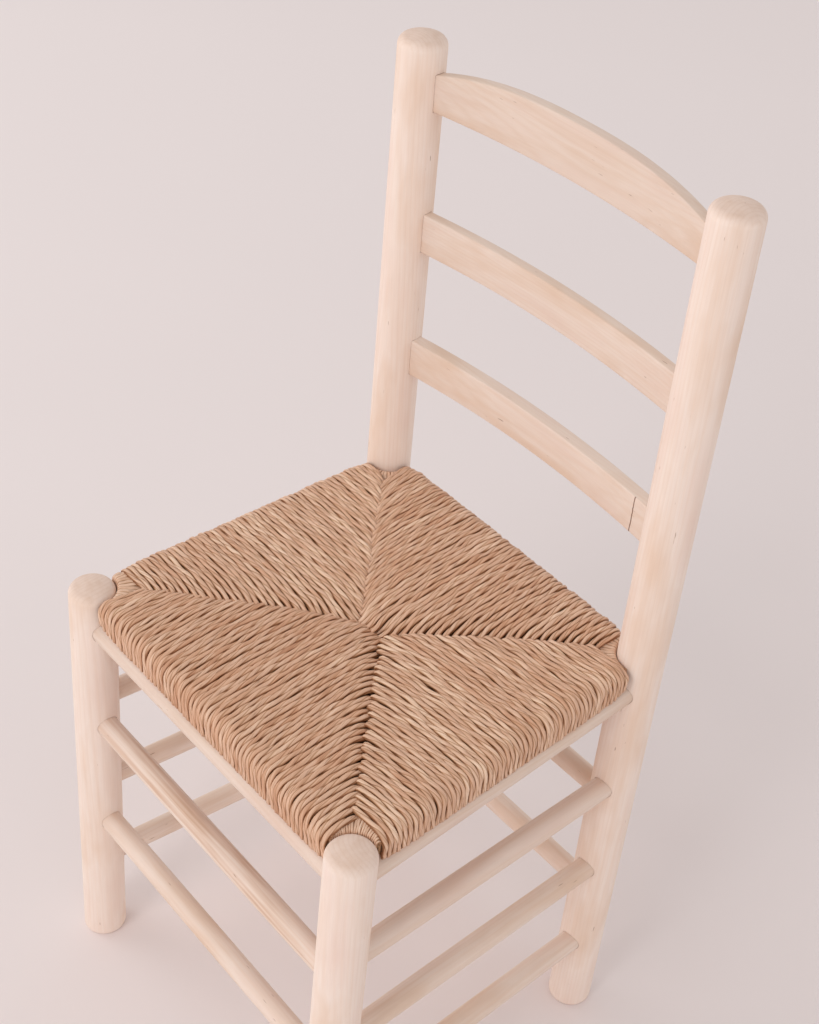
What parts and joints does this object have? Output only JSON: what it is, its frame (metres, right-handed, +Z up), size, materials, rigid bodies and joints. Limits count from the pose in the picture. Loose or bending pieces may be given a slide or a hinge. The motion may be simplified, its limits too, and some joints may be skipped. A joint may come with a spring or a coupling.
{
  "type": "dining chair",
  "caption": "Ladder-back dining chair with round wooden posts, bowed back slats, dowel rungs and a woven rush seat.",
  "frame": {"origin": "on the floor, in the middle of the chair's footprint", "axes": "+Z up; the chair faces -Y; +X is on the left of a person sitting in it"},
  "size_m": [0.401, 0.3698, 0.874],
  "materials": {
    "bare_wood": "unfinished, finely sanded pale hardwood",
    "frame_wood": "rough sawn",
    "rush": "dry twisted rush, slightly glossy",
    "corner_cord": "fine twisted cord",
    "stuffing": "loose dry straw"
  },
  "bodies": {
    "root": {"front_post_left": "bare_wood", "front_post_right": "bare_wood", "back_post_left": "bare_wood", "back_post_right": "bare_wood", "back_slat_lower": "bare_wood", "back_slat_middle": "bare_wood", "back_slat_top": "bare_wood", "front_rung_upper": "bare_wood", "front_rung_lower": "bare_wood", "back_rung_upper": "bare_wood", "back_rung_lower": "bare_wood", "left_rung_upper": "bare_wood", "left_rung_middle": "bare_wood", "left_rung_lower": "bare_wood", "right_rung_upper": "bare_wood", "right_rung_middle": "bare_wood", "right_rung_lower": "bare_wood", "seat_rail_front": "bare_wood", "seat_rail_back": "bare_wood", "seat_rail_left": "bare_wood", "seat_rail_right": "bare_wood", "seat_frame_front": "frame_wood", "seat_frame_back": "frame_wood", "seat_frame_left": "frame_wood", "seat_frame_right": "frame_wood", "rush_front": "rush", "rush_back": "rush", "rush_left": "rush", "rush_right": "rush", "rush_stuffing_front": "stuffing", "rush_stuffing_back": "stuffing", "rush_stuffing_left": "stuffing", "rush_stuffing_right": "stuffing", "corner_cord_front_left": "corner_cord", "corner_cord_front_right": "corner_cord", "corner_cord_back_left": "corner_cord", "corner_cord_back_right": "corner_cord"}
  },
  "joints": []
}
